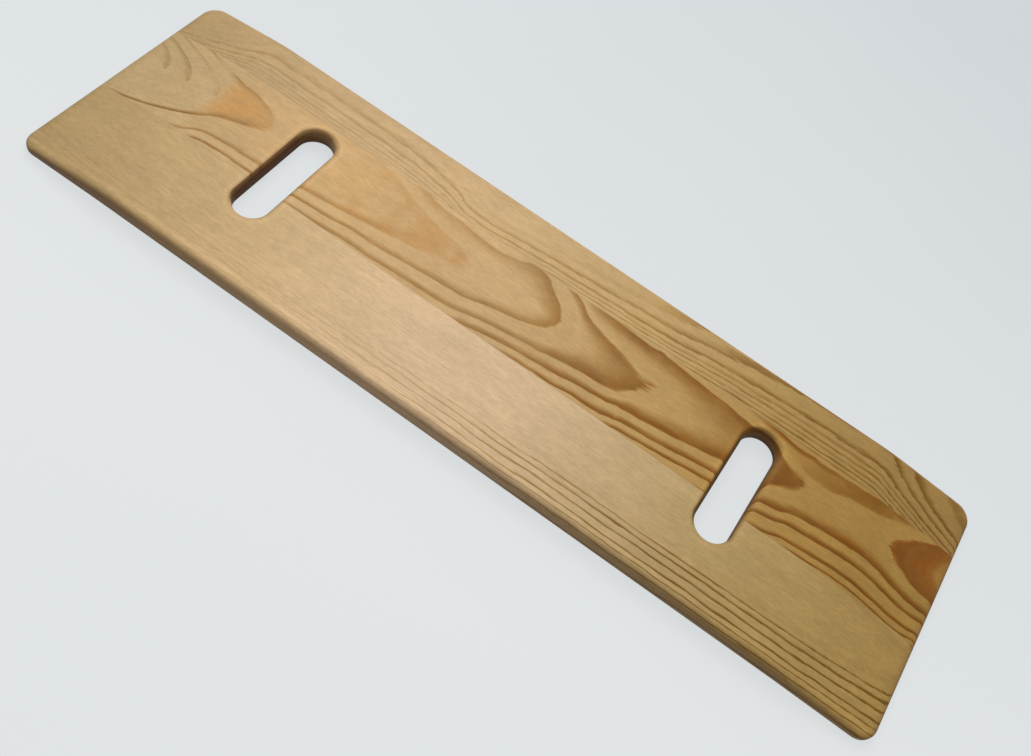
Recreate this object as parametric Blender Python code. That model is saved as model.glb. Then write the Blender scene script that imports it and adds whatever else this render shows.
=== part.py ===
"""Wooden transfer board, which bridges the gap between two seats.

Three pine staves are glued edge to edge into one panel. The panel is then sawn to
its outline, slotted for the hands, planed thin at both ends and rounded all over.
X runs along the board, Y across it and Z up. The origin is under the board's middle.
"""
import math

import bmesh
import bpy

# Board
BOARD_LENGTH = 0.760
BOARD_THICKNESS = 0.016
CORNER_RADIUS = 0.014
EDGE_ROUNDING = 0.005

# Staves, whose widths add up to the board's width
FAR_STAVE_WIDTH = 0.047
MIDDLE_STAVE_WIDTH = 0.0865
NEAR_STAVE_WIDTH = 0.0865
GLUE_GAP = 0.0003

# Planed ends, thin enough to slip under a sitting person
TAPER_LENGTH = 0.078
END_THICKNESS = 0.0065

# Hand slots, one across each end
SLOT_LENGTH = 0.108
SLOT_WIDTH = 0.030
SLOT_FROM_END = 0.167

# Sawn staves stand this far proud of the finished board before it is machined
SAWING_ALLOWANCE = 0.004

# Smoothness of the round stretches
CORNER_STEPS = 8
SLOT_END_STEPS = 20
ROUNDING_STEPS = 3

# Finish of each stave: colour and roughness
LACQUER_ROUGHNESS = 0.42
FAR_STAVE_COLOUR = (0.50, 0.33, 0.15, 1.0)
MIDDLE_STAVE_COLOUR = (0.47, 0.29, 0.12, 1.0)
NEAR_STAVE_COLOUR = (0.58, 0.41, 0.24, 1.0)

# Worked out from the sizes above
BOARD_WIDTH = FAR_STAVE_WIDTH + MIDDLE_STAVE_WIDTH + NEAR_STAVE_WIDTH
FAR_GLUE_LINE = BOARD_WIDTH / 2 - FAR_STAVE_WIDTH
NEAR_GLUE_LINE = NEAR_STAVE_WIDTH - BOARD_WIDTH / 2
TAPER_START = BOARD_LENGTH / 2 - TAPER_LENGTH
SLOT_CENTRE = BOARD_LENGTH / 2 - SLOT_FROM_END
MERGE_DISTANCE = 0.00001


def clear_scene():
    """Remove every object of the open file."""
    for old in list(bpy.data.objects):
        bpy.data.objects.remove(old, do_unlink=True)


def new_collection(name):
    """Add an empty collection to the scene."""
    collection = bpy.data.collections.new(name)
    bpy.context.scene.collection.children.link(collection)
    return collection


def pine(name, colour):
    """Make lacquered pine of one stave's colour."""
    material = bpy.data.materials.new(name)
    material.use_nodes = True
    surface = material.node_tree.nodes["Principled BSDF"]
    surface.inputs["Base Color"].default_value = colour
    surface.inputs["Roughness"].default_value = LACQUER_ROUGHNESS
    surface.inputs["Metallic"].default_value = 0.0
    return material


def arc(centre, radius, first_angle, last_angle, steps):
    """Points along an arc, both ends included."""
    points = []
    for step in range(steps + 1):
        angle = first_angle + (last_angle - first_angle) * step / steps
        x = centre[0] + radius * math.cos(angle)
        y = centre[1] + radius * math.sin(angle)
        points.append((x, y))
    return points


def board_outline():
    """Rectangle with rounded corners, anticlockwise."""
    x = BOARD_LENGTH / 2 - CORNER_RADIUS
    y = BOARD_WIDTH / 2 - CORNER_RADIUS
    corners = [(x, y), (-x, y), (-x, -y), (x, -y)]
    points = []
    for turn, centre in enumerate(corners):
        start = turn * math.pi / 2
        points += arc(centre, CORNER_RADIUS, start, start + math.pi / 2, CORNER_STEPS)
    return points


def slot_outline(centre_x):
    """Slot with half-round ends, clockwise because it is a hole."""
    radius = SLOT_WIDTH / 2
    reach = SLOT_LENGTH / 2 - radius
    points = arc((centre_x, reach), radius, math.pi, 0.0, SLOT_END_STEPS)
    points += arc((centre_x, -reach), radius, 0.0, -math.pi, SLOT_END_STEPS)
    return points


def add_outline(curve, points):
    """Add one closed outline to a flat curve."""
    spline = curve.splines.new("POLY")
    spline.points.add(len(points) - 1)
    for point, (x, y) in zip(spline.points, points):
        point.co = (x, y, 0.0, 1.0)
    spline.use_cyclic_u = True


def flat_board(collection):
    """Board of even thickness with its slots and rounded edges, as a mesh object."""
    curve = bpy.data.curves.new("board_outline", "CURVE")
    curve.dimensions = "2D"
    curve.fill_mode = "BOTH"
    curve.extrude = BOARD_THICKNESS / 2 - EDGE_ROUNDING
    curve.bevel_depth = EDGE_ROUNDING
    curve.bevel_resolution = ROUNDING_STEPS
    curve.offset = -EDGE_ROUNDING
    add_outline(curve, board_outline())
    add_outline(curve, slot_outline(-SLOT_CENTRE))
    add_outline(curve, slot_outline(SLOT_CENTRE))
    outline = bpy.data.objects.new("board_outline", curve)
    collection.objects.link(outline)
    outline.location.z = BOARD_THICKNESS / 2
    bpy.context.view_layer.update()
    evaluated = outline.evaluated_get(bpy.context.evaluated_depsgraph_get())
    mesh = bpy.data.meshes.new_from_object(evaluated)
    board = bpy.data.objects.new("machined_board", mesh)
    board.matrix_world = outline.matrix_world
    collection.objects.link(board)
    bpy.data.objects.remove(outline, do_unlink=True)
    return board


def plane_ends(board):
    """Thin both ends of the flat board down from its top face."""
    shape = bmesh.new()
    shape.from_mesh(board.data)
    shape.transform(board.matrix_world)
    bmesh.ops.remove_doubles(shape, verts=shape.verts, dist=MERGE_DISTANCE)
    for side in (-1, 1):
        everything = list(shape.verts) + list(shape.edges) + list(shape.faces)
        crease = (side * TAPER_START, 0.0, 0.0)
        bmesh.ops.bisect_plane(shape, geom=everything, plane_co=crease, plane_no=(1.0, 0.0, 0.0))
    thinning = (BOARD_THICKNESS - END_THICKNESS) / TAPER_LENGTH
    for vertex in shape.verts:
        past_crease = max(abs(vertex.co.x) - TAPER_START, 0.0)
        thickness = BOARD_THICKNESS - thinning * past_crease
        vertex.co.z *= thickness / BOARD_THICKNESS
    shape.to_mesh(board.data)
    shape.free()
    board.matrix_world.identity()
    board.data.shade_smooth()
    board.data.set_sharp_from_angle(angle=math.radians(30.0))


def as_cutter(cutter):
    """Show an object as a wire that is never rendered."""
    cutter.hide_render = True
    cutter.display_type = "WIRE"


def stave(name, low_y, high_y, colour, cutter, collection, parent):
    """Sawn stave between two lines across the board, machined to the board's shape."""
    height = BOARD_THICKNESS + 2 * SAWING_ALLOWANCE
    length = BOARD_LENGTH + 2 * SAWING_ALLOWANCE
    centre = (0.0, (low_y + high_y) / 2, BOARD_THICKNESS / 2)
    bpy.ops.mesh.primitive_cube_add(size=1.0, location=centre)
    piece = bpy.context.object
    piece.name = name
    piece.data.name = name
    piece.scale = (length, high_y - low_y, height)
    bpy.ops.object.transform_apply(location=False, rotation=False, scale=True)
    for old in list(piece.users_collection):
        old.objects.unlink(piece)
    collection.objects.link(piece)
    piece.data.materials.append(pine(name + "_pine", colour))
    machining = piece.modifiers.new("machining", "BOOLEAN")
    machining.operation = "INTERSECT"
    machining.solver = "EXACT"
    machining.object = cutter
    piece.parent = parent


def main():
    """Glue up and machine the board."""
    clear_scene()
    pieces = new_collection("transfer_board")
    cutters = new_collection("cutters")
    frame = bpy.data.objects.new("transfer_board", None)
    pieces.objects.link(frame)
    board = flat_board(cutters)
    plane_ends(board)
    as_cutter(board)
    half_gap = GLUE_GAP / 2
    far_edge = BOARD_WIDTH / 2 + SAWING_ALLOWANCE
    near_edge = -BOARD_WIDTH / 2 - SAWING_ALLOWANCE
    stave("stave_far", FAR_GLUE_LINE + half_gap, far_edge, FAR_STAVE_COLOUR,
          board, pieces, frame)
    stave("stave_middle", NEAR_GLUE_LINE + half_gap, FAR_GLUE_LINE - half_gap,
          MIDDLE_STAVE_COLOUR, board, pieces, frame)
    stave("stave_near", near_edge, NEAR_GLUE_LINE - half_gap, NEAR_STAVE_COLOUR,
          board, pieces, frame)


main()
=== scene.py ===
from math import radians

import bmesh
import bpy
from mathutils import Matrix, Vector


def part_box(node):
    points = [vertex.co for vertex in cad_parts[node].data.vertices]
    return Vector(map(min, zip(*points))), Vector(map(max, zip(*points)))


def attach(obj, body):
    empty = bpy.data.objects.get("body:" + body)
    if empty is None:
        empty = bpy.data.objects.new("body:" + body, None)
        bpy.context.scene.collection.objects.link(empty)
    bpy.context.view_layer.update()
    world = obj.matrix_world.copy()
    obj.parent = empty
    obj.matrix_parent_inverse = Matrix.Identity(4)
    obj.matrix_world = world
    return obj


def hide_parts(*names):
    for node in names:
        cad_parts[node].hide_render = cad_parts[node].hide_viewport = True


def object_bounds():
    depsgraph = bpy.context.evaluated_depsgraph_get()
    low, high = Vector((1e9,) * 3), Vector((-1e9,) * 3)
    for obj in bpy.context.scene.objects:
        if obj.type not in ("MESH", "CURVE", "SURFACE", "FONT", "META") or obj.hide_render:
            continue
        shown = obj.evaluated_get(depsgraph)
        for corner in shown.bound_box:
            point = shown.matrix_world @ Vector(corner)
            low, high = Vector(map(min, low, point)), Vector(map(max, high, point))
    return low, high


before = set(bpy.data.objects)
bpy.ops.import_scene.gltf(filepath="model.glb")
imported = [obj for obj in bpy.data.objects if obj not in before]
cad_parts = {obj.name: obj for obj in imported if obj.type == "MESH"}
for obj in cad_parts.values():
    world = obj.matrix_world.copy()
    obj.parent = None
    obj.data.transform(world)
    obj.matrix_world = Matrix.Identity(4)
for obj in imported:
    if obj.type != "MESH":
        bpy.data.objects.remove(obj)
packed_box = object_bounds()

# The far board, a narrow strip of slow grown pine with its rings standing close together. It is glued to
# the middle board, and the panel that the three make is then shaped as one: cut to length, slotted,
# rounded over with a 5 mm cutter and planed down to a ramp at each end.
BOARD_LENGTH = packed_box[1].x - packed_box[0].x
BOARD_WIDTH = packed_box[1].y - packed_box[0].y
BOARD_THICKNESS = packed_box[1].z - packed_box[0].z
CORNER_RADIUS = 0.014
EDGE_ROUNDING = 0.005
SLOT_LENGTH = 0.108
SLOT_WIDTH = 0.030
SLOT_FROM_END = 0.167
SLOT_MIDDLE = BOARD_LENGTH / 2 - SLOT_FROM_END
# A hair less than half the width, so that the two round corners of a slot's end meet without crossing.
SLOT_END_RADIUS = SLOT_WIDTH / 2 - 1e-5
RAMP_LENGTH = 0.078
RAMP_TIP = 0.0065
RAMP_START = BOARD_LENGTH / 2 - RAMP_LENGTH
SANDED_CREASE = 0.008
CORNER_FACETS = 14
ROUNDING_FACETS = 8
RIM_ANGLE = radians(60)
SMOOTH_ANGLE = radians(35)
SAW_TOLERANCE = 1e-7
SAME_PLACE = 1e-6
WELD_REACH = 5e-5


def saw(wood, through, facing, **clear):
    """Cuts the mesh with a plane and, with clear_outer, drops what lies past it."""
    geometry = wood.verts[:] + wood.edges[:] + wood.faces[:]
    bmesh.ops.bisect_plane(
        wood, geom=geometry, plane_co=through, plane_no=facing, dist=SAW_TOLERANCE, **clear
    )


def slotted_outline():
    """The board from above, as a flat sheet with round corners and both slots. The far half is cut out and
    mirrored."""
    panel = bmesh.new()
    bmesh.ops.create_grid(panel, x_segments=1, y_segments=1, size=0.5)
    bmesh.ops.scale(panel, vec=(BOARD_LENGTH, BOARD_WIDTH / 2, 1), verts=panel.verts)
    bmesh.ops.translate(panel, vec=(0, BOARD_WIDTH / 4, 0), verts=panel.verts)
    for slot in (-SLOT_MIDDLE, SLOT_MIDDLE):
        for side in (-SLOT_WIDTH / 2, SLOT_WIDTH / 2):
            saw(panel, (slot + side, 0, 0), (1, 0, 0))
    saw(panel, (0, SLOT_LENGTH / 2, 0), (0, 1, 0))
    waste = []
    for face in panel.faces:
        middle = face.calc_center_median()
        if abs(abs(middle.x) - SLOT_MIDDLE) < SLOT_WIDTH / 2 and middle.y < SLOT_LENGTH / 2:
            waste.append(face)
    bmesh.ops.delete(panel, geom=waste, context="FACES")
    bmesh.ops.dissolve_limit(panel, angle_limit=radians(1), verts=panel.verts, edges=panel.edges)
    for y, radius in ((BOARD_WIDTH / 2, CORNER_RADIUS), (SLOT_LENGTH / 2, SLOT_END_RADIUS)):
        corners = [vert for vert in panel.verts if abs(vert.co.y - y) < SAME_PLACE]
        bmesh.ops.bevel(
            panel, geom=corners, offset=radius, offset_type="OFFSET", segments=CORNER_FACETS,
            profile=0.5, affect="VERTICES", material=-1,
        )
    half = panel.verts[:] + panel.edges[:] + panel.faces[:]
    bmesh.ops.mirror(panel, geom=half, axis="Y", merge_dist=SAME_PLACE)
    bmesh.ops.remove_doubles(panel, verts=panel.verts, dist=WELD_REACH)
    return panel


def ramp_drop(x):
    """How far the top face lies below the full thickness, x metres from the middle of the board."""
    slope = (BOARD_THICKNESS - RAMP_TIP) / RAMP_LENGTH
    past_crease = x - (RAMP_START - SANDED_CREASE)
    on_crease = min(max(past_crease, 0), 2 * SANDED_CREASE)
    on_ramp = max(past_crease - 2 * SANDED_CREASE, 0)
    return slope * (on_crease ** 2 / (4 * SANDED_CREASE) + on_ramp)


def shaped_panel():
    """The whole board as one closed skin: outline, slots, rounded edges and both ramps."""
    panel = slotted_outline()
    top = bmesh.ops.extrude_face_region(panel, geom=panel.faces[:], use_keep_orig=True)
    raised = [item for item in top["geom"] if isinstance(item, bmesh.types.BMVert)]
    bmesh.ops.translate(panel, vec=(0, 0, BOARD_THICKNESS), verts=raised)
    bmesh.ops.recalc_face_normals(panel, faces=panel.faces)
    rims = []
    for edge in panel.edges:
        level = abs(edge.verts[0].co.z - edge.verts[1].co.z) < SAME_PLACE
        if level and edge.calc_face_angle() > RIM_ANGLE:
            rims.append(edge)
    bmesh.ops.bevel(
        panel, geom=rims, offset=EDGE_ROUNDING, offset_type="OFFSET", segments=ROUNDING_FACETS,
        profile=0.5, affect="EDGES", material=-1,
    )
    for end in (-1, 1):
        for step in (-SANDED_CREASE, 0, SANDED_CREASE):
            saw(panel, (end * (RAMP_START + step), 0, 0), (end, 0, 0))
    for vert in panel.verts:
        vert.co.z *= 1 - ramp_drop(abs(vert.co.x)) / BOARD_THICKNESS
    return panel


def piece_of_panel(name, lowest=None, highest=None):
    """The part of the panel between two glue faces, given by their Y, as an object in its place."""
    wood = shaped_panel()
    for face, outwards in ((lowest, -1), (highest, 1)):
        if face is None:
            continue
        saw(wood, (0, face, 0), (0, outwards, 0), clear_outer=True)
        open_edges = [edge for edge in wood.edges if edge.is_boundary]
        bmesh.ops.holes_fill(wood, edges=open_edges, sides=0)
    bmesh.ops.recalc_face_normals(wood, faces=wood.faces)
    mesh = bpy.data.meshes.new(name)
    wood.to_mesh(mesh)
    wood.free()
    mesh.shade_smooth()
    mesh.set_sharp_from_angle(angle=SMOOTH_ANGLE)
    piece = bpy.data.objects.new(name, mesh)
    bpy.context.collection.objects.link(piece)
    level = piece.modifiers.new("wide faces stay level", "WEIGHTED_NORMAL")
    level.keep_sharp = True
    return piece


# From here on lengths in the wood are in mm, from the middle of the board's underside.
MM = 1000.0
LEFT_END, RIGHT_END = -380, 380


def place(tree, kind, inputs=None, **settings):
    """A node with its settings. An input takes a plain value or another node's output."""
    new = tree.nodes.new("ShaderNode" + kind)
    for setting, value in settings.items():
        setattr(new, setting, value)
    for socket, value in (inputs or {}).items():
        if isinstance(value, bpy.types.NodeSocket):
            tree.links.new(value, new.inputs[socket])
        else:
            new.inputs[socket].default_value = value
    return new


def maths(tree, operation, *values):
    """A Math node on plain values or readings."""
    return place(tree, "Math", dict(enumerate(values)), operation=operation).outputs[0]


def product(tree, first, *others):
    """Multiplies readings, one after another."""
    for other in others:
        first = maths(tree, "MULTIPLY", first, other)
    return first


def remap(tree, value, old_low, old_high, new_low=0.0, new_high=1.0, kind="LINEAR"):
    """Carries a reading from one range to another and stops at its ends."""
    ranges = {"From Min": old_low, "From Max": old_high, "To Min": new_low, "To Max": new_high}
    return place(tree, "MapRange", {"Value": value, **ranges}, interpolation_type=kind).outputs[0]


def blend(tree, share, first, second, way="MIX"):
    """Mixes two colours, by share from first to second."""
    sockets = {0: share, 6: first, 7: second}
    return place(tree, "Mix", sockets, data_type="RGBA", blend_type=way).outputs[2]


def read_off(tree, reading, points, handle="AUTO_CLAMPED"):
    """Reads a value off a curve drawn through (reading, value) points."""
    low, high = points[0][0], points[-1][0]
    least = min(value for _, value in points)
    most = max(value for _, value in points)
    curve = place(tree, "FloatCurve", {"Value": remap(tree, reading, low, high)})
    spots = [((at - low) / (high - low), (value - least) / (most - least)) for at, value in points]
    line = curve.mapping.curves[0].points
    line[0].location = spots[0]
    line[-1].location = spots[-1]
    for spot in spots[1:-1]:
        line.new(*spot)
    for point in line:
        point.handle_type = handle
    curve.mapping.update()
    return remap(tree, curve.outputs[0], 0, 1, least, most)


def shade(red, green, blue):
    """A colour as it is seen, 0 to 255, in the linear values that the shaders take."""
    linear = []
    for part in (red, green, blue):
        part /= 255
        linear.append(part / 12.92 if part < 0.04045 else ((part + 0.055) / 1.055) ** 2.4)
    return (*linear, 1)


def new_group(name, takes, gives):
    """An empty shader group. takes and gives map each socket's name to its kind."""
    tree = bpy.data.node_groups.new(name, "ShaderNodeTree")
    for sockets, side in ((takes, "INPUT"), (gives, "OUTPUT")):
        for socket, kind in sockets.items():
            tree.interface.new_socket(name=socket, in_out=side, socket_type="NodeSocket" + kind)
    return tree, tree.nodes.new("NodeGroupInput").outputs, tree.nodes.new("NodeGroupOutput").inputs


def use(tree, group, *inputs):
    """Places a shader group in a material. inputs follow the order of its sockets."""
    return place(tree, "Group", dict(enumerate(inputs)), node_tree=group).outputs


def stretched_noise(tree, point, lengths, detail=2.0):
    """Noise from 0 to 1 whose grains have these lengths in mm along X, Y and Z."""
    squeeze = tuple(1 / length for length in lengths)
    grain = place(tree, "VectorMath", {0: point, 1: squeeze}, operation="MULTIPLY").outputs[0]
    return place(tree, "TexNoise", {"Vector": grain, "Scale": 1.0, "Detail": detail}).outputs[0]


def sway(tree, point, lengths, detail=2.0):
    """Such noise from -0.5 to 0.5, which pushes a line to either side."""
    return maths(tree, "SUBTRACT", stretched_noise(tree, point, lengths, detail), 0.5)


WIDE_WAVES = (35, 12, 12)
FINE_WAVES = (18, 5, 5)
FINE_WAVE_SHARE = 0.3
FRAYED_FIBRES = (16, 1.2, 1.2)
SWELLING_ASIDE = (8, 34)
FAR_SIDE_BEGINS = (-3, 5)


def ring_distance_group():
    """How far in mm a point of the board lies from the tree's centre, which runs nearly along X. Far Side is
    1 where the point lies past the centre, towards the board's far edge."""
    takes = {
        "Point": "Vector", "Centre Y": "Float", "Centre Depth": "Float", "Lean": "Float",
        "Far Swelling": "Float", "Wander": "Float", "Fraying": "Float",
    }
    gives = {"Distance": "Float", "Far Side": "Float"}
    tree, given, result = new_group("pine ring distance", takes, gives)
    point, wander = given["Point"], given["Wander"]
    split = place(tree, "SeparateXYZ", {0: point}).outputs
    aside = maths(tree, "SUBTRACT", split["Y"], given["Centre Y"])
    aside = maths(tree, "MULTIPLY_ADD", sway(tree, point, WIDE_WAVES), wander, aside)
    swelling = product(tree, given["Far Swelling"], remap(tree, aside, *SWELLING_ASIDE))
    aside = maths(tree, "SUBTRACT", aside, swelling)
    tree.links.new(remap(tree, aside, *FAR_SIDE_BEGINS), result["Far Side"])
    below_face = maths(tree, "SUBTRACT", BOARD_THICKNESS * MM, split["Z"])
    depth = maths(tree, "SUBTRACT", given["Centre Depth"], product(tree, below_face, given["Lean"]))
    across = place(tree, "CombineXYZ", {"Y": aside, "Z": depth}).outputs[0]
    distance = place(tree, "VectorMath", {0: across}, operation="LENGTH").outputs["Value"]
    fine_wander = product(tree, sway(tree, point, FINE_WAVES), wander)
    distance = maths(tree, "MULTIPLY_ADD", fine_wander, FINE_WAVE_SHARE, distance)
    distance = maths(tree, "MULTIPLY_ADD", sway(tree, point, FRAYED_FIBRES), given["Fraying"], distance)
    tree.links.new(distance, result["Distance"])
    return tree


LATEWOOD_SETS_IN = (0.1, 0.25)


def latewood_group():
    """The dark outer part of each ring: it deepens slowly and stops sharply at the ring's edge. A share
    below LATEWOOD_SETS_IN leaves the ring without latewood."""
    takes = {"Ring Count": "Float", "Latewood Share": "Float", "Sharp Edge": "Float"}
    tree, given, result = new_group("pine latewood", takes, {"Latewood": "Float"})
    through_ring = maths(tree, "FRACT", given["Ring Count"])
    starts = maths(tree, "SUBTRACT", 1, given["Latewood Share"])
    stops = maths(tree, "SUBTRACT", 1, given["Sharp Edge"])
    deepening = remap(tree, through_ring, starts, stops, kind="SMOOTHSTEP")
    ending = remap(tree, through_ring, stops, 1, 1, 0, kind="SMOOTHSTEP")
    setting_in = remap(tree, given["Latewood Share"], *LATEWOOD_SETS_IN)
    tree.links.new(product(tree, deepening, ending, setting_in), result["Latewood"])
    return tree


def season_group():
    """Fine lines that follow the rings, as the wood of each season grew thicker or thinner walled, and
    longer patches between them."""
    takes = {"Point": "Vector", "Distance": "Float"}
    tree, given, result = new_group("pine season lines", takes, {"Lines": "Float", "Patches": "Float"})
    along = place(tree, "SeparateXYZ", {0: given["Point"]}).outputs["X"]
    in_ring = place(tree, "CombineXYZ", {"X": along, "Y": given["Distance"]}).outputs[0]
    for effect, lengths, detail in (("Lines", (70, 1.1, 1), 3), ("Patches", (26, 3.5, 1), 2)):
        tree.links.new(stretched_noise(tree, in_ring, lengths, detail), result[effect])
    return tree


DUCT_LENGTHS = (7, 0.45, 0.45)
DUCT_LEVELS = (0.72, 0.78)


def fibre_group():
    """The fibres: fine streaks along the board, short dark resin ducts, soft clouds, a smaller mottle and
    sanding marks."""
    gives = {"Streaks": "Float", "Ducts": "Float", "Clouds": "Float", "Mottle": "Float", "Sanding": "Float"}
    tree, given, result = new_group("pine fibre", {"Point": "Vector"}, gives)
    ducts = stretched_noise(tree, given["Point"], DUCT_LENGTHS, 1)
    tree.links.new(remap(tree, ducts, *DUCT_LEVELS), result["Ducts"])
    for effect, lengths, detail in (
        ("Streaks", (40, 0.7, 0.7), 3), ("Clouds", (60, 24, 24), 2), ("Mottle", (15, 7, 7), 3),
        ("Sanding", (5, 1.1, 1.1), 3),
    ):
        tree.links.new(stretched_noise(tree, given["Point"], lengths, detail), result[effect])
    return tree


# Inside the slots, what faces right and near, away from the lamp, gets painted shade. Each pair says how much
# of a surface's normal points along X, up or to that side where an effect begins, and where it is full.
SHADED_SIDE = (0.8, -0.6, 0)
END_GRAIN_TURN = (0.35, 0.95)
SIDE_TURN = (0.95, 0.3)
WALL_TURN = (0.75, 0.25)
SHADED_TURN = (0.05, 0.4)


def facing_group():
    """End Grain is where the fibres are cut across and drink lacquer. Side is all that faces sideways, with
    the rounding above it, Wall only what stands nearly upright. The last is what faces right and near, away
    from the lamp, for painted shade."""
    gives = {"End Grain": "Float", "Side": "Float", "Wall": "Float", "Shaded": "Float"}
    tree, given, result = new_group("cut fibres and sides", {"Normal": "Vector"}, gives)
    facing = place(tree, "SeparateXYZ", {0: given["Normal"]}).outputs
    across_fibres = maths(tree, "ABSOLUTE", facing["X"])
    towards_shade = {0: given["Normal"], 1: SHADED_SIDE}
    towards_shade = place(tree, "VectorMath", towards_shade, operation="DOT_PRODUCT").outputs["Value"]
    for effect, reading, turn in (
        ("End Grain", across_fibres, END_GRAIN_TURN), ("Side", facing["Z"], SIDE_TURN),
        ("Wall", facing["Z"], WALL_TURN), ("Shaded", towards_shade, SHADED_TURN),
    ):
        tree.links.new(remap(tree, reading, *turn), result[effect])
    return tree


# Wear of use, painted shade inside the slots and a painted highlight along the rims. Each pair is a range in
# mm over which a mark fades or sets in, from the nearest rim or from the slot's rim, but SLOT_FAR_END runs
# along Y and the range for the wall's height up from the underside. The slots' far ends get less of the
# painted shade, on their walls more so towards the top.
RIM_WEAR = (1, 9)
WEAR_PATCHES = (22, 14, 14)
PATCHY_WEAR = (0.35, 0.65, 0.3, 1)
SLOT_RIM_REACH = (2.4, 3.5)
SLOT_WALL_REACH = (0.5, 1.8)
SLOT_FAR_END = (34, 44)
LIGHTER_WALL_HEIGHT = (4, 11)
FAR_RIM_LESS_SHADE = 0.4
FAR_WALL_LESS_SHADE = 0.6
HIGHLIGHT_RISES = (3.6, 5)
HIGHLIGHT_FALLS = (6, 8.5)
NEAR_EDGE_SET_IN = 2


def wear_and_painted_light_group():
    """Wear on all rims, Slot Rim and Slot Wall for the painted shade inside both slots, and a painted
    highlight, a pale line along the slots' rims and just in from the near edge."""
    gives = {"Wear": "Float", "Slot Rim": "Float", "Slot Wall": "Float", "Rim Highlight": "Float"}
    tree, given, result = new_group("rim wear and painted light", {"Point": "Vector"}, gives)
    split = place(tree, "SeparateXYZ", {0: given["Point"]}).outputs
    x = maths(tree, "ABSOLUTE", split["X"])
    y = maths(tree, "ABSOLUTE", split["Y"])
    from_end = maths(tree, "SUBTRACT", BOARD_LENGTH / 2 * MM, x)
    from_side = maths(tree, "SUBTRACT", BOARD_WIDTH / 2 * MM, y)
    slot_x = maths(tree, "SUBTRACT", x, SLOT_MIDDLE * MM)
    straight_part = (SLOT_LENGTH - SLOT_WIDTH) / 2 * MM
    slot_y = maths(tree, "MAXIMUM", maths(tree, "SUBTRACT", y, straight_part), 0)
    from_slot = place(tree, "CombineXYZ", {"X": slot_x, "Y": slot_y}).outputs[0]
    from_slot = place(tree, "VectorMath", {0: from_slot}, operation="LENGTH").outputs["Value"]
    from_slot = maths(tree, "SUBTRACT", from_slot, SLOT_WIDTH / 2 * MM)
    nearest = maths(tree, "MINIMUM", maths(tree, "MINIMUM", from_end, from_side), from_slot)
    worn = remap(tree, nearest, *RIM_WEAR, 1, 0, kind="SMOOTHSTEP")
    patchy = remap(tree, stretched_noise(tree, given["Point"], WEAR_PATCHES, 3), *PATCHY_WEAR)
    tree.links.new(product(tree, worn, patchy), result["Wear"])

    # Painted shade inside the slots, weaker at their far ends and, on the far walls, towards the top.
    far_end = remap(tree, split["Y"], *SLOT_FAR_END)
    rim_shade = maths(tree, "MULTIPLY_ADD", far_end, -FAR_RIM_LESS_SHADE, 1)
    slot_rim = remap(tree, from_slot, *SLOT_RIM_REACH, 1, 0)
    tree.links.new(product(tree, slot_rim, rim_shade), result["Slot Rim"])
    lighter_far_wall = product(tree, far_end, remap(tree, split["Z"], *LIGHTER_WALL_HEIGHT))
    wall_shade = maths(tree, "MULTIPLY_ADD", lighter_far_wall, -FAR_WALL_LESS_SHADE, 1)
    slot_wall = remap(tree, from_slot, *SLOT_WALL_REACH, 1, 0)
    tree.links.new(product(tree, slot_wall, wall_shade), result["Slot Wall"])

    # A painted highlight: a pale band along the slots' rims and in from the near edge.
    from_near = maths(tree, "ADD", BOARD_WIDTH / 2 * MM, split["Y"])
    from_highlit_rims = maths(tree, "MINIMUM", from_slot, maths(tree, "SUBTRACT", from_near, NEAR_EDGE_SET_IN))
    rising = remap(tree, from_highlit_rims, *HIGHLIGHT_RISES, kind="SMOOTHSTEP")
    falling = remap(tree, from_highlit_rims, *HIGHLIGHT_FALLS, 1, 0, kind="SMOOTHSTEP")
    tree.links.new(product(tree, rising, falling, patchy), result["Rim Highlight"])
    return tree


RING_DISTANCE = ring_distance_group()
LATEWOOD = latewood_group()
SEASON = season_group()
FIBRE = fibre_group()
FACING = facing_group()
WEAR_AND_PAINTED_LIGHT = wear_and_painted_light_group()


def point_in_mm(tree):
    """The point of the board that is being coloured, in mm."""
    on_board = place(tree, "TexCoord").outputs["Object"]
    return place(tree, "VectorMath", {0: on_board, 3: MM}, operation="SCALE").outputs[0]


def blank_pine(name):
    """A new material, with the point in mm and its parts X, Y and Z."""
    pine = bpy.data.materials.new(name)
    pine.use_nodes = True
    tree = pine.node_tree
    point = point_in_mm(tree)
    return pine, tree, point, place(tree, "SeparateXYZ", {0: point}).outputs


THIN_RING_STEP = 3


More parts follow.
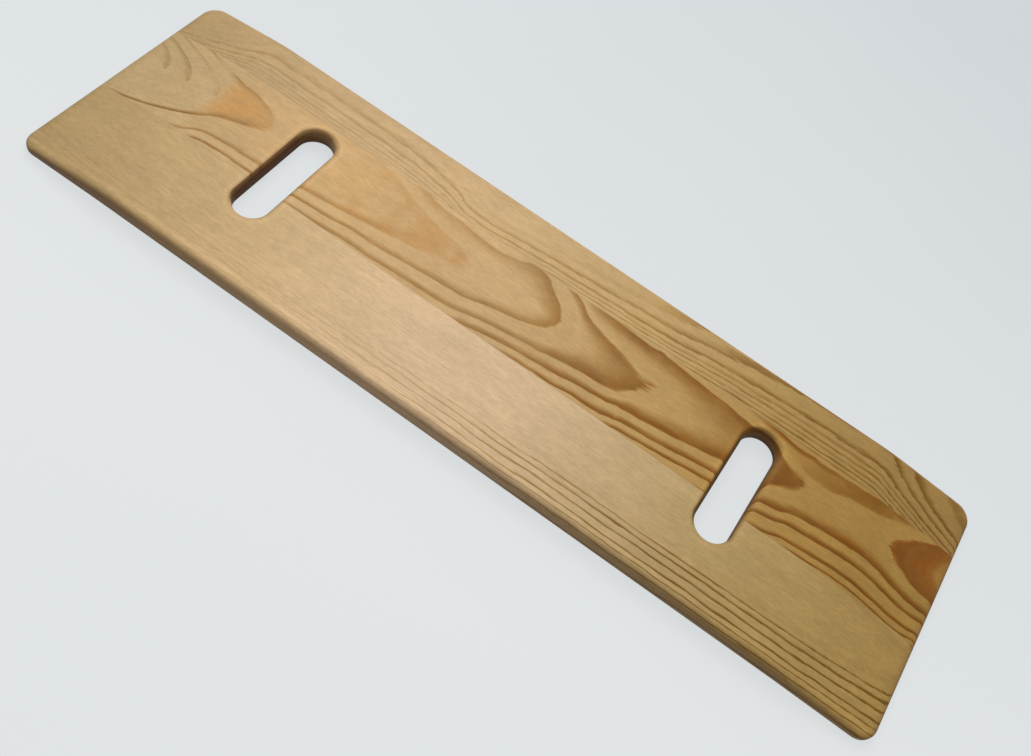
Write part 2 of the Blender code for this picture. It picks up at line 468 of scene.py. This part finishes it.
def rings(tree, point, growth, thin_ring=None, **centre):
    """Reads the ring that the point lies in. growth lists the rings from the tree's centre outwards: outer
    radius in mm, latewood's share of the ring on the near and on the far side of the tree's centre, its
    darkness and the resin in the early wood. thin_ring is a ring that grew thinner on the near side: its
    inner radius and by how much. centre gives the sockets of the ring distance group."""
    sockets = {name.replace("_", " ").title(): value for name, value in centre.items()}
    group = place(tree, "Group", {"Point": point, **sockets}, node_tree=RING_DISTANCE)
    distance, far_side = group.outputs
    if thin_ring:
        inner, thinner = thin_ring
        thinner = product(tree, thinner, maths(tree, "SUBTRACT", 1, far_side))
        past_inner = remap(tree, distance, inner, inner + THIN_RING_STEP)
        distance = maths(tree, "MULTIPLY_ADD", thinner, past_inner, distance)
    radii = [(ring[0], number) for number, ring in enumerate(growth)]
    count = read_off(tree, distance, radii, handle="VECTOR")
    middle_of_ring = maths(tree, "ADD", maths(tree, "FLOOR", count), 0.5)
    last = len(growth) - 1
    traits = place(tree, "ValToRGB", {0: maths(tree, "DIVIDE", middle_of_ring, last)})
    stops = traits.color_ramp.elements
    traits.color_ramp.interpolation = "CONSTANT"
    for number, (_, near_share, far_share, darkness, resin) in enumerate(growth[1:]):
        if number > 1:
            stops.new(number / last)
        stops[number].position = number / last
        stops[number].color = (near_share, darkness, resin, far_share)
    near_share, darkness, resin = place(tree, "SeparateColor", {0: traits.outputs["Color"]}).outputs
    share = place(tree, "Mix", {0: far_side, 2: near_share, 3: traits.outputs["Alpha"]}).outputs[0]
    return {
        "distance": distance, "far_side": far_side, "count": count,
        "share": share, "darkness": darkness, "resin": resin,
    }


def tone_along(tree, x, shades):
    """A colour that drifts through evenly spaced shades from the left end to the right end."""
    ramp = place(tree, "ValToRGB", {0: remap(tree, x, LEFT_END, RIGHT_END)})
    ramp.color_ramp.interpolation = "CARDINAL"
    stops = ramp.color_ramp.elements
    stops[0].color = shade(*shades[0])
    stops[1].color = shade(*shades[-1])
    for number in range(1, len(shades) - 1):
        stops.new(number / (len(shades) - 1)).color = shade(*shades[number])
    return ramp.outputs["Color"]


# The lacquer and what has settled in and under it, with painted shade on the sides and in the slots and a
# painted highlight along the rims. Shades are as they are seen, 0 to 255. Four numbers in a row are the two
# levels of a reading between which an effect changes, and its values there.
RING_EDGE = 0.08
STAIN_PATCHES = (0.3, 0.6, 0.8, 1.1)
STAIN_STREAKS = (0.2, 0.6, 0.85, 1.0)
RESIN_STRENGTH = 0.9
RESIN_PATCHES = (0.35, 0.6, 0.35, 1.25)
RESIN_STREAKS = (0.3, 0.6, 0.7, 1.15)
LESS_STAIN_IN_RESIN = -0.55
CLOUD_GAIN = (0.3, 0.7, 0.94, 1.05)
STREAK_GAIN = (0.25, 0.75, 0.91, 1.08)
LINE_GAIN = (0.3, 0.7, 0.965, 1.03)
MOTTLE_GAIN = (0.3, 0.7, 0.95, 1.05)
SANDING_GAIN = (0.3, 0.7, 0.91, 1.09)
HIGHLIGHT_GAIN = (0, 1, 1, 1.16)
SIDE_SHADE_FROM_LEFT = (-320, -160, 0.8, 0.48)
RESIN_DUCT = (120, 75, 40)
PAINTED_SIDE_SHADE = (92, 58, 42)
END_GRAIN = (95, 58, 30)
WORN_RIM = (140, 98, 55)
SLOT_RIM_SHADE = (92, 58, 28)
SLOT_WALL_SHADE = (80, 45, 24)
SATIN_ROUGHNESS = (0.3, 0.7, 0.50, 0.58)
OPEN_END_GRAIN = 0.2
RUBBED_SMOOTH = -0.06
RELIEF_STRENGTH = 0.35
RELIEF_DEPTH = 0.0002
SHINE = 0.2
SHINE_TINT = (1, 0.82, 0.5, 1)
COAT = 0.03
COAT_ROUGHNESS = 0.4


def lacquer(pine, tree, point, x, grown, early, stain, strength, resin_along=None, resinous=None, pitch=None):
    """Colours the rings, paints shade on the sides and in the slots and a highlight along the rims, and
    finishes the board with a satin lacquer. early gives the pale wood's shades from the left end to the right
    end, partly painted
    light: paler in the middle and darker towards both ends. stain gives the shades that the lacquer's two
    coats give to the latewood. resinous gives the shades of the resin soaked wood, resin_along its strength,
    and pitch a dark streak."""
    latewood = use(tree, LATEWOOD, grown["count"], grown["share"], RING_EDGE)[0]
    season = use(tree, SEASON, point, grown["distance"])
    fibre = use(tree, FIBRE, point)
    facing = use(tree, FACING, place(tree, "TexCoord").outputs["Normal"])
    wear_and_painted_light = use(tree, WEAR_AND_PAINTED_LIGHT, point)

    depth = product(tree, latewood, strength, grown["darkness"])
    if pitch:
        depth = maths(tree, "MAXIMUM", depth, pitch)
    depth = product(
        tree, depth,
        remap(tree, season["Patches"], *STAIN_PATCHES),
        remap(tree, fibre["Streaks"], *STAIN_STREAKS),
    )
    # The pale wood's own tone with painted light in it: paler in the middle and darker towards both ends.
    pale = tone_along(tree, x, early)
    stained = depth
    if resinous:
        resin = product(
            tree, grown["resin"], resin_along, RESIN_STRENGTH,
            remap(tree, season["Patches"], *RESIN_PATCHES),
            remap(tree, fibre["Streaks"], *RESIN_STREAKS),
        )
        pale = blend(tree, resin, pale, tone_along(tree, x, resinous))
        stained = product(tree, depth, maths(tree, "MULTIPLY_ADD", resin, LESS_STAIN_IN_RESIN, 1))
    coat = tone_along(tree, x, stain)
    colour = blend(tree, stained, pale, coat, way="MULTIPLY")
    colour = blend(tree, stained, colour, coat, way="MULTIPLY")

    # Painted shade on the rounded sides, deepest towards the left end and left out on the slots' rims.
    side = maths(tree, "SUBTRACT", remap(tree, x, *SIDE_SHADE_FROM_LEFT), wear_and_painted_light["Slot Rim"])
    # Resin ducts, end grain and worn rims are the wood's own; the sides and the slots' rims and walls get
    # painted shade.
    for mask, amount, brown in (
        (fibre["Ducts"], 0.25, RESIN_DUCT),
        (facing["Side"], side, PAINTED_SIDE_SHADE),
        (facing["End Grain"], 0.3, END_GRAIN),
        (wear_and_painted_light["Wear"], 0.25, WORN_RIM),
        (product(tree, wear_and_painted_light["Slot Rim"], facing["Shaded"]), 0.85, SLOT_RIM_SHADE),
        (product(tree, wear_and_painted_light["Slot Wall"], facing["Wall"]), 0.75, SLOT_WALL_SHADE),
    ):
        colour = blend(tree, product(tree, mask, amount), colour, shade(*brown))
    # Random tone in the fibres and rings, and the painted highlight along the rims.
    brighter = product(
        tree,
        remap(tree, fibre["Clouds"], *CLOUD_GAIN),
        remap(tree, fibre["Streaks"], *STREAK_GAIN),
        remap(tree, season["Lines"], *LINE_GAIN),
        remap(tree, fibre["Mottle"], *MOTTLE_GAIN),
        remap(tree, fibre["Sanding"], *SANDING_GAIN),
        remap(tree, wear_and_painted_light["Rim Highlight"], *HIGHLIGHT_GAIN),
    )
    colour = place(tree, "VectorMath", {0: colour, 3: brighter}, operation="SCALE").outputs[0]

    roughness = remap(tree, fibre["Clouds"], *SATIN_ROUGHNESS)
    roughness = maths(tree, "MULTIPLY_ADD", facing["End Grain"], OPEN_END_GRAIN, roughness)
    roughness = maths(tree, "MULTIPLY_ADD", wear_and_painted_light["Wear"], RUBBED_SMOOTH, roughness)
    relief = depth
    for effect, height in (("Streaks", 0.5), ("Sanding", 0.4), ("Ducts", -0.5)):
        relief = maths(tree, "MULTIPLY_ADD", fibre[effect], height, relief)
    bump = {"Height": relief, "Strength": RELIEF_STRENGTH, "Distance": RELIEF_DEPTH}
    bump = place(tree, "Bump", bump).outputs[0]
    finish = tree.nodes["Principled BSDF"]
    tree.links.new(colour, finish.inputs["Base Color"])
    tree.links.new(roughness, finish.inputs["Roughness"])
    tree.links.new(bump, finish.inputs["Normal"])
    finish.inputs["Specular IOR Level"].default_value = SHINE
    finish.inputs["Specular Tint"].default_value = SHINE_TINT
    finish.inputs["Coat Weight"].default_value = COAT
    finish.inputs["Coat Roughness"].default_value = COAT_ROUGHNESS


far_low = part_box("stave_far")[0]
stave_far = piece_of_panel("pine_stave_far", lowest=far_low.y)
pine, tree, point, split = blank_pine("lacquered pine, far board")
centre_depth = read_off(tree, split["X"], [
    (-380, 89), (-302, 89), (-190, 89), (-120, 87.3), (-95, 85), (-70, 82.5), (-40, 83.5), (0, 85.1),
    (50, 86.6), (110, 88), (150, 89.8), (194, 91), (287, 91.7), (380, 91.7),
])
grown = rings(
    tree, point,
    growth=[
        (70, 0, 0, 0, 0), (84.5, 0.25, 0.25, 0.6, 0), (89, 0.45, 0.45, 0.9, 0), (91.6, 0.6, 0.6, 0.9, 0),
        (94.6, 0.5, 0.5, 1, 0), (96.4, 0.6, 0.6, 0.6, 0), (98.2, 0.6, 0.6, 0.9, 0), (100, 0.6, 0.6, 0.6, 0),
        (101.9, 0.6, 0.6, 1, 0), (103.8, 0.6, 0.6, 0.7, 0), (106, 0.6, 0.6, 0.6, 0), (110, 0.6, 0.6, 0.8, 0),
    ],
    centre_y=112.0, centre_depth=centre_depth, lean=1.15, wander=2.0, fraying=1.4,
)
# The first two rings are faint, but towards the right end they show as the others do.
PAST_TWO_RINGS = (1.95, 2.05, 0.2, 1)
RIGHT_PART = (70, 130)
past_two = remap(tree, grown["count"], *PAST_TWO_RINGS)
shown = maths(tree, "MAXIMUM", past_two, remap(tree, split["X"], *RIGHT_PART))
strength = read_off(tree, split["X"], [(-380, 0.5), (-300, 0.7), (-100, 0.8), (100, 0.87), (380, 0.92)])
lacquer(
    pine, tree, point, split["X"], grown,
    early=[(178, 150, 104), (201, 168, 122), (203, 169, 119), (182, 148, 90), (165, 130, 72)],
    stain=[(235, 226, 213), (234, 229, 209), (230, 219, 187), (217, 201, 159), (210, 196, 145)],
    strength=product(tree, shown, strength),
)
stave_far.data.materials.append(pine)
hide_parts("stave_far")
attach(stave_far, "root")

# The middle board, flat sawn close to the tree's centre, so its rings show as tall pointed arches.
# It carries most of both slots, and its bold, resin rich latewood gives the transfer board its look.
mid_low, mid_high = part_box("stave_middle")
stave_middle = piece_of_panel("pine_stave_middle", lowest=mid_low.y, highest=mid_high.y)
pine, tree, point, split = blank_pine("lacquered pine, middle board")
centre_y = read_off(tree, split["X"], [
    (-380, 24), (-330, 22), (-302, 23.5), (-290, 27.5), (-275, 29.7), (-260, 29.5), (-247, 27.5), (-235, 27),
    (-190, 30), (-150, 30), (-130, 28.5), (-100, 26), (-50, 26), (-25, 30), (0, 32), (34, 28.5), (50, 24.5),
    (75, 21.5), (95, 19.5), (103, 20.5), (110, 23.5), (121, 28), (150, 29.5), (190, 31), (228, 29),
    (243, 29.5), (255, 32), (302, 35), (331, 36.5), (350, 37.5), (380, 44),
])
centre_depth = read_off(tree, split["X"], [
    (-380, 35), (-350, 41.7), (-325, 46.7), (-302, 50.5), (-290, 53.2), (-275, 54.7), (-260, 56.2),
    (-247, 57.8), (-235, 58.4), (-190, 60), (-150, 62.3), (-130, 64.2), (-100, 66.8), (-75, 67.9),
    (-50, 68.9), (-25, 69.3), (0, 70.7), (34, 74.9), (50, 77.6), (75, 79.3), (95, 80.2), (103, 80.7),
    (110, 81.2), (123, 81.6), (130, 82.1), (150, 83), (190, 84.8), (232, 86.7), (240, 87.2), (252, 87.55),
    (258, 88.1), (275, 88.4), (302, 88.9), (322, 90.5), (331, 90.85), (350, 91), (380, 90.8),
])
far_swelling = read_off(tree, split["X"], [
    (-380, 0), (-30, 0), (-2, 7), (22, 0), (50, 1), (75, 3.5), (95, 6), (105, 6), (113, 3), (123, 0),
    (380, 0),
])
thinner = read_off(tree, split["X"], [
    (-380, 0), (-40, 0), (0, 1), (50, 1.7), (77, 3), (95, 3.3), (110, 1.8), (121, 0.6), (150, 0), (380, 0),
])
grown = rings(
    tree, point, thin_ring=(81.7, thinner),
    growth=[
        (29, 0, 0, 0, 0), (36, 0, 0.5, 0.5, 0), (43, 0, 0.5, 0.6, 0), (50.5, 0, 0.4, 0.5, 0),
        (57.8, 0.4, 0.35, 0.88, 1), (68.9, 0.3, 0, 0.6, 0.2), (74.9, 0.5, 0.75, 0.8, 0.04),
        (81.7, 0.55, 0.5, 0.85, 0), (88, 0.7, 0.9, 1, 0.1), (92.5, 0.65, 0.55, 1, 0), (96.3, 0.65, 0.6, 1, 0),
        (102.2, 0.42, 0.42, 1, 0), (105.5, 0.5, 0.5, 1, 0), (110, 0.5, 0.5, 1, 0),
    ],
    centre_y=centre_y, centre_depth=centre_depth, lean=0.8, far_swelling=far_swelling, wander=2.0,
    fraying=0.5,
)
near_strength = read_off(tree, split["X"], [
    (-380, 0.8), (-290, 1.2), (-220, 1.2), (-130, 0.9), (-40, 0.8), (20, 0.75), (70, 1.1), (190, 1.1),
    (260, 1.05), (380, 1.05),
])
far_strength = read_off(tree, split["X"], [
    (-380, 0.6), (-340, 0.6), (-322, 0.1), (-310, 0.1), (-300, 0.9), (-240, 0.8), (-130, 0.5), (-20, 0.5),
    (4, 0.85), (260, 0.95), (285, 0.65), (322, 0.65), (334, 1), (380, 1),
], handle="VECTOR")
strength = place(tree, "Mix", {0: grown["far_side"], 2: near_strength, 3: far_strength}).outputs[0]


def within_ring(tree, grown, number):
    """1 inside the ring of this number, counted outwards from the tree's centre."""
    return maths(tree, "COMPARE", grown["count"], number - 0.5, 0.5)


# The tip of the fourth ring is pale, and the fifth ring's latewood ends before the ring does.
PALE_TIP = (-268, -256, 0, 0.6)
LATEWOOD_ENDS = (-130, -92)
pale_tip = product(tree, within_ring(tree, grown, 4), remap(tree, split["X"], *PALE_TIP))
ending = product(tree, within_ring(tree, grown, 5), remap(tree, split["X"], *LATEWOOD_ENDS))
left_out = maths(tree, "MAXIMUM", ending, pale_tip)

# The streak of pitch beside the far joint, between the right slot and the right end. It lies between two
# lines, and slants through the board.
PITCH_WAVES = (18, 4, 4)
PITCH_WAVE_HEIGHT = 4.0
PITCH_SLANT = 0.5
PITCH_TOP = PITCH_SLANT * BOARD_THICKNESS * MM
PITCH_SETS_IN = (-0.8, 1.8)
PITCH_STOPS = (-0.3, 0.6)
pitch_y = maths(tree, "MULTIPLY_ADD", sway(tree, point, PITCH_WAVES, 3), PITCH_WAVE_HEIGHT, split["Y"])
pitch_y = maths(tree, "MULTIPLY_ADD", split["Z"], -PITCH_SLANT, maths(tree, "ADD", pitch_y, PITCH_TOP))
pitch_low = read_off(tree, split["X"], [
    (220, 52), (245, 46), (258, 41.5), (272, 41.5), (285, 45.5), (295, 47.5), (303, 48.5), (312, 50.5),
    (319, 53), (326, 56.5), (334, 63),
])
pitch_high = read_off(tree, split["X"], [
    (220, 66), (250, 61), (264, 60), (282, 60.5), (300, 61.5), (312, 64), (334, 66),
])
above_low = remap(tree, maths(tree, "SUBTRACT", pitch_y, pitch_low), *PITCH_SETS_IN)
below_high = remap(tree, maths(tree, "SUBTRACT", pitch_high, pitch_y), *PITCH_STOPS)
pitch_depth = read_off(tree, split["X"], [
    (220, 0), (245, 0.2), (262, 0.38), (275, 0.5), (286, 0.65), (322, 0.65), (334, 0),
], handle="VECTOR")
lacquer(
    pine, tree, point, split["X"], grown,
    early=[(188, 161, 115), (208, 172, 122), (202, 166, 115), (184, 145, 82), (172, 134, 68)],
    stain=[(215, 197, 169), (220, 206, 173), (213, 192, 147), (215, 190, 126), (216, 190, 132)],
    strength=product(tree, strength, maths(tree, "SUBTRACT", 1, left_out)),
    resin_along=read_off(tree, split["X"], [
        (-380, 0), (-306, 0), (-298, 1.15), (-240, 1.15), (-200, 1.2), (-172, 1.4), (-152, 2.6),
        (-100, 2.9), (-78, 3.3), (-64, 3.4), (-48, 0), (320, 0), (328, 9), (380, 9),
    ], handle="VECTOR"),
    resinous=[(186, 142, 88), (204, 152, 88), (176, 124, 68), (150, 92, 30), (150, 90, 28)],
    pitch=product(tree, above_low, below_high, pitch_depth),
)
stave_middle.data.materials.append(pine)
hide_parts("stave_middle")
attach(stave_middle, "root")

# The near board, sawn far from the tree's centre with the bark side down: plain and pale over most of its
# face, with close lines only along the outer edge, where the rings are cut square.
near_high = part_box("stave_near")[1]
stave_near = piece_of_panel("pine_stave_near", highest=near_high.y)
pine, tree, point, split = blank_pine("lacquered pine, near board")
centre_y = read_off(tree, split["X"], [(-380, -52), (0, -48), (380, -46)])
centre_depth = read_off(tree, split["X"], [
    (-380, 50), (-150, 49), (0, 50), (60, 49.4), (90, 50.6), (150, 50.4), (250, 51), (380, 50.5),
])
grown = rings(
    tree, point,
    growth=[
        (28, 0, 0, 0, 0), (44, 0.3, 0.3, 0, 0), (59.4, 0.2, 0.2, 0.12, 0), (61.6, 0.5, 0.5, 0.75, 0),
        (64.8, 0.5, 0.5, 1, 0), (69, 0.4, 0.4, 1, 0), (73.9, 0.35, 0.35, 1, 0), (77.2, 0.4, 0.4, 0.8, 0),
        (81, 0.4, 0.4, 0.8, 0), (86, 0.4, 0.4, 0.8, 0),
    ],
    centre_y=centre_y, centre_depth=centre_depth, lean=-0.7, wander=3.0, fraying=1.1,
)
strength = read_off(tree, split["X"], [
    (-380, 0.2), (-150, 0.25), (-60, 0.4), (50, 0.85), (120, 1), (200, 1.2), (380, 1.2),
])
lacquer(
    pine, tree, point, split["X"], grown,
    early=[(180, 152, 104), (210, 177, 129), (222, 190, 151), (192, 163, 112), (178, 144, 82)],
    stain=[(233, 224, 205), (234, 227, 209), (224, 214, 187), (212, 196, 152), (207, 195, 151)],
    strength=strength,
)
stave_near.data.materials.append(pine)
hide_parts("stave_near")
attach(stave_near, "root")

# The two glue lines, thin films of cured wood glue that hold the three boards together.
# Each fills the hairline between two sawn faces and was planed and rounded over with them.
THIN_GLUE = (160, 124, 80)
THICK_GLUE = (178, 142, 96)
GLUE_PATCHES = (25, 3, 3)
PATCH_LEVELS = (0.3, 0.7)
# The glue's colours for painted shade inside the slots and on the rounded sides follow its own tones.
GLUE_SLOT_SHADE = (72, 42, 20)
SLOT_SHADE_SHARE = 0.9
SIDE_SHADE_SHARE = 0.5
GLUE_ROUGHNESS = (0, 1, 0.35, 0.5)
glue = bpy.data.materials.new("cured wood glue")
glue.use_nodes = True
tree = glue.node_tree
point = point_in_mm(tree)
squeeze_out = remap(tree, stretched_noise(tree, point, GLUE_PATCHES, 3), *PATCH_LEVELS)
film = blend(tree, squeeze_out, shade(*THIN_GLUE), shade(*THICK_GLUE))
facing = use(tree, FACING, place(tree, "TexCoord").outputs["Normal"])
wear_and_painted_light = use(tree, WEAR_AND_PAINTED_LIGHT, point)
# Painted shade inside the slots and on the rounded sides, as on the boards.
inside_slot = maths(tree, "MAXIMUM", facing["Wall"], facing["Shaded"])
painted_slot_shade = product(tree, wear_and_painted_light["Slot Rim"], inside_slot, SLOT_SHADE_SHARE)
film = blend(tree, painted_slot_shade, film, shade(*GLUE_SLOT_SHADE))
film = blend(tree, product(tree, facing["Side"], SIDE_SHADE_SHARE), film, shade(*PAINTED_SIDE_SHADE))
finish = tree.nodes["Principled BSDF"]
tree.links.new(film, finish.inputs["Base Color"])
tree.links.new(remap(tree, squeeze_out, *GLUE_ROUGHNESS), finish.inputs["Roughness"])
for name, low, high, slot in (
    ("glue_line_far", mid_high.y, far_low.y, "pine_far"),
    ("glue_line_near", near_high.y, mid_low.y, "pine_near"),
):
    glue_line = piece_of_panel(name, lowest=low, highest=high)
    glue_line.data.materials.append(glue)
    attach(glue_line, "root")

# The bench that the board lies on: a plain pale sheet, only there for the picture. Most of what is seen
# of it is a glow in its own tone, which softens the board's shadow and the lamp's fall-off.
SHEET_SIZE = 6.0
SHEET_DROP = 0.0003
SHEET_NEAR = (228, 232, 233)
SHEET_FAR = (206, 211, 215)
SHEET_DEPTH = (-0.2, 0.7)
SHEET_CLOUDS = (240, 242, 243)
CLOUDS_PER_METRE = 3.0
CLOUD_SHARE = 0.15
EVENED_OUT = 0.85
PAPER_ROUGHNESS = 0.9
PAPER_SHINE = 0.1


def seen_or_mirrored(tree):
    """1 where the camera sees a surface, or its mirror image, and 0 for the light it throws on others."""
    ray = place(tree, "LightPath").outputs
    mirrored = maths(tree, "MAXIMUM", ray["Is Glossy Ray"], ray["Is Transmission Ray"])
    return maths(tree, "MAXIMUM", ray["Is Camera Ray"], mirrored)


sheet_mesh = bpy.data.meshes.new("pale_sheet")
sheet = bmesh.new()
bmesh.ops.create_grid(sheet, x_segments=1, y_segments=1, size=SHEET_SIZE / 2)
bmesh.ops.translate(sheet, vec=(0, 0, -SHEET_DROP), verts=sheet.verts)
sheet.to_mesh(sheet_mesh)
sheet.free()
pale_sheet = bpy.data.objects.new("pale_sheet", sheet_mesh)
bpy.context.collection.objects.link(pale_sheet)
paper = bpy.data.materials.new("pale sheet")
paper.use_nodes = True
tree = paper.node_tree
on_sheet = place(tree, "TexCoord").outputs["Object"]
clouds = {"Vector": on_sheet, "Scale": CLOUDS_PER_METRE, "Detail": 2.0}
clouds = place(tree, "TexNoise", clouds).outputs[0]
further_back = remap(tree, place(tree, "SeparateXYZ", {0: on_sheet}).outputs["Y"], *SHEET_DEPTH)
tone = blend(tree, further_back, shade(*SHEET_NEAR), shade(*SHEET_FAR))
tone = blend(tree, product(tree, clouds, CLOUD_SHARE), tone, shade(*SHEET_CLOUDS))
matt = tree.nodes["Principled BSDF"]
matt.inputs["Roughness"].default_value = PAPER_ROUGHNESS
matt.inputs["Specular IOR Level"].default_value = PAPER_SHINE
tree.links.new(tone, matt.inputs["Base Color"])
glow = place(tree, "Emission", {"Color": tone}).outputs[0]
evened = product(tree, seen_or_mirrored(tree), EVENED_OUT)
even = place(tree, "MixShader", {0: evened, 1: matt.outputs[0], 2: glow}).outputs[0]
tree.links.new(even, tree.nodes["Material Output"].inputs["Surface"])
sheet_mesh.materials.append(paper)

# Soft studio light: a white dome all round and one wide lamp behind the board, high on the left.
# The dome is seen as a backdrop in the tone of the sheet, at a level of its own.
DOME_STRENGTH = 0.35
BACKDROP = (215, 220, 223)
LAMP_PLACE = Vector((-0.5, 1.1, 1.4))
LAMP_AIM = Vector((-0.08, 0, 0))
LAMP_SIZE = 1.6
LAMP_WATTS = 28.0
world = bpy.data.worlds.new("studio dome")
bpy.context.scene.world = world
world.use_nodes = True
tree = world.node_tree
dome = tree.nodes["Background"]
dome.inputs["Color"].default_value = (1, 1, 1, 1)
dome.inputs["Strength"].default_value = DOME_STRENGTH
backdrop = place(tree, "Background", {"Color": shade(*BACKDROP)}).outputs[0]
around = place(tree, "MixShader", {0: seen_or_mirrored(tree), 1: dome.outputs[0], 2: backdrop}).outputs[0]
tree.links.new(around, tree.nodes["World Output"].inputs["Surface"])
lamp_data = bpy.data.lights.new("wide_lamp", "AREA")
lamp_data.shape = "DISK"
lamp_data.size = LAMP_SIZE
lamp_data.energy = LAMP_WATTS
lamp = bpy.data.objects.new("wide_lamp", lamp_data)
lamp.location = LAMP_PLACE
lamp.rotation_euler = (LAMP_AIM - LAMP_PLACE).to_track_quat("-Z", "Y").to_euler()
bpy.context.collection.objects.link(lamp)

# The camera stands in front of the board, over its right half, and looks down and to the left.
CAMERA_PLACE = (0.1356, -0.4765, 0.7061)
CAMERA_TURN = (30.99, -12.79, 33.28)
CAMERA_LENS = 38.74
SENSOR_WIDTH = 36
camera_data = bpy.data.cameras.new("photo_camera")
camera_data.sensor_width = SENSOR_WIDTH
camera_data.lens = CAMERA_LENS
camera = bpy.data.objects.new("photo_camera", camera_data)
camera.location = CAMERA_PLACE
camera.rotation_euler = [radians(angle) for angle in CAMERA_TURN]
bpy.context.collection.objects.link(camera)
bpy.context.scene.camera = camera
bpy.context.scene.view_settings.view_transform = "Standard"
